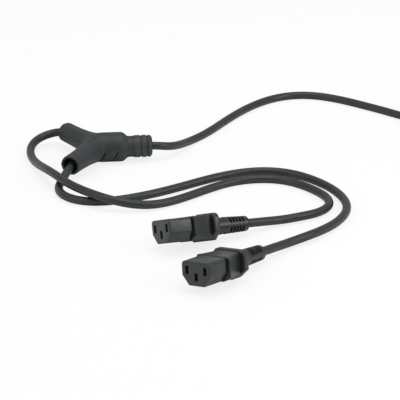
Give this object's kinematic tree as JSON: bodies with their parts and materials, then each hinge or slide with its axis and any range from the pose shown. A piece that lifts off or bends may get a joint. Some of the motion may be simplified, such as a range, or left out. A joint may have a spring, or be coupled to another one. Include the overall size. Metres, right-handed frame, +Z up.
{
  "type": "power cord splitter",
  "caption": "Moulded Y-shaped power cord splitter: a trunk lead forks into two leads that end in appliance connectors; the trunk ends in the matching plug.",
  "frame": {"origin": "middle of the moulded junction's box, at its base", "axes": "+X along the junction from its sleeves to its trunk collar, +Y to the left across both sleeves, +Z up from the surface it lies on"},
  "size_m": [0.3865, 0.4277, 0.0253],
  "materials": {
    "matt": "matt moulded",
    "satin": "satin moulded",
    "jacket": "satin jacket",
    "insert": "smooth",
    "brass": "plain",
    "nickel": "nickel plated",
    "tin": "tin plated",
    "strap": "woven hook and loop",
    "live": "brown insulation",
    "neutral": "blue insulation",
    "earth": "green and yellow insulation"
  },
  "bodies": {
    "root": {"junction_body": "matt", "joint_live": "tin", "joint_neutral": "tin", "joint_earth": "tin", "trunk_core_live": "live", "trunk_core_neutral": "neutral", "trunk_core_earth": "earth", "branch_1_core_live": "live", "branch_1_core_neutral": "neutral", "branch_1_core_earth": "earth", "branch_2_core_live": "live", "branch_2_core_neutral": "neutral", "branch_2_core_earth": "earth", "connector_1_grip": "satin", "connector_1_insert": "insert", "connector_1_contact_live": "brass", "connector_1_contact_neutral": "brass", "connector_1_contact_earth": "brass", "connector_1_core_live": "live", "connector_1_core_neutral": "neutral", "connector_1_core_earth": "earth", "connector_2_grip": "satin", "connector_2_insert": "insert", "connector_2_contact_live": "brass", "connector_2_contact_neutral": "brass", "connector_2_contact_earth": "brass", "connector_2_core_live": "live", "connector_2_core_neutral": "neutral", "connector_2_core_earth": "earth", "plug_grip": "satin", "plug_pin_carrier": "insert", "plug_pin_live": "nickel", "plug_pin_neutral": "nickel", "plug_pin_earth": "nickel", "plug_core_live": "live", "plug_core_neutral": "neutral", "plug_core_earth": "earth", "branch_cord_1": "jacket", "branch_cord_2": "jacket", "trunk_cord": "jacket", "trunk_tail": "jacket", "trunk_coil": "jacket", "coil_tie": "strap"}
  },
  "joints": []
}
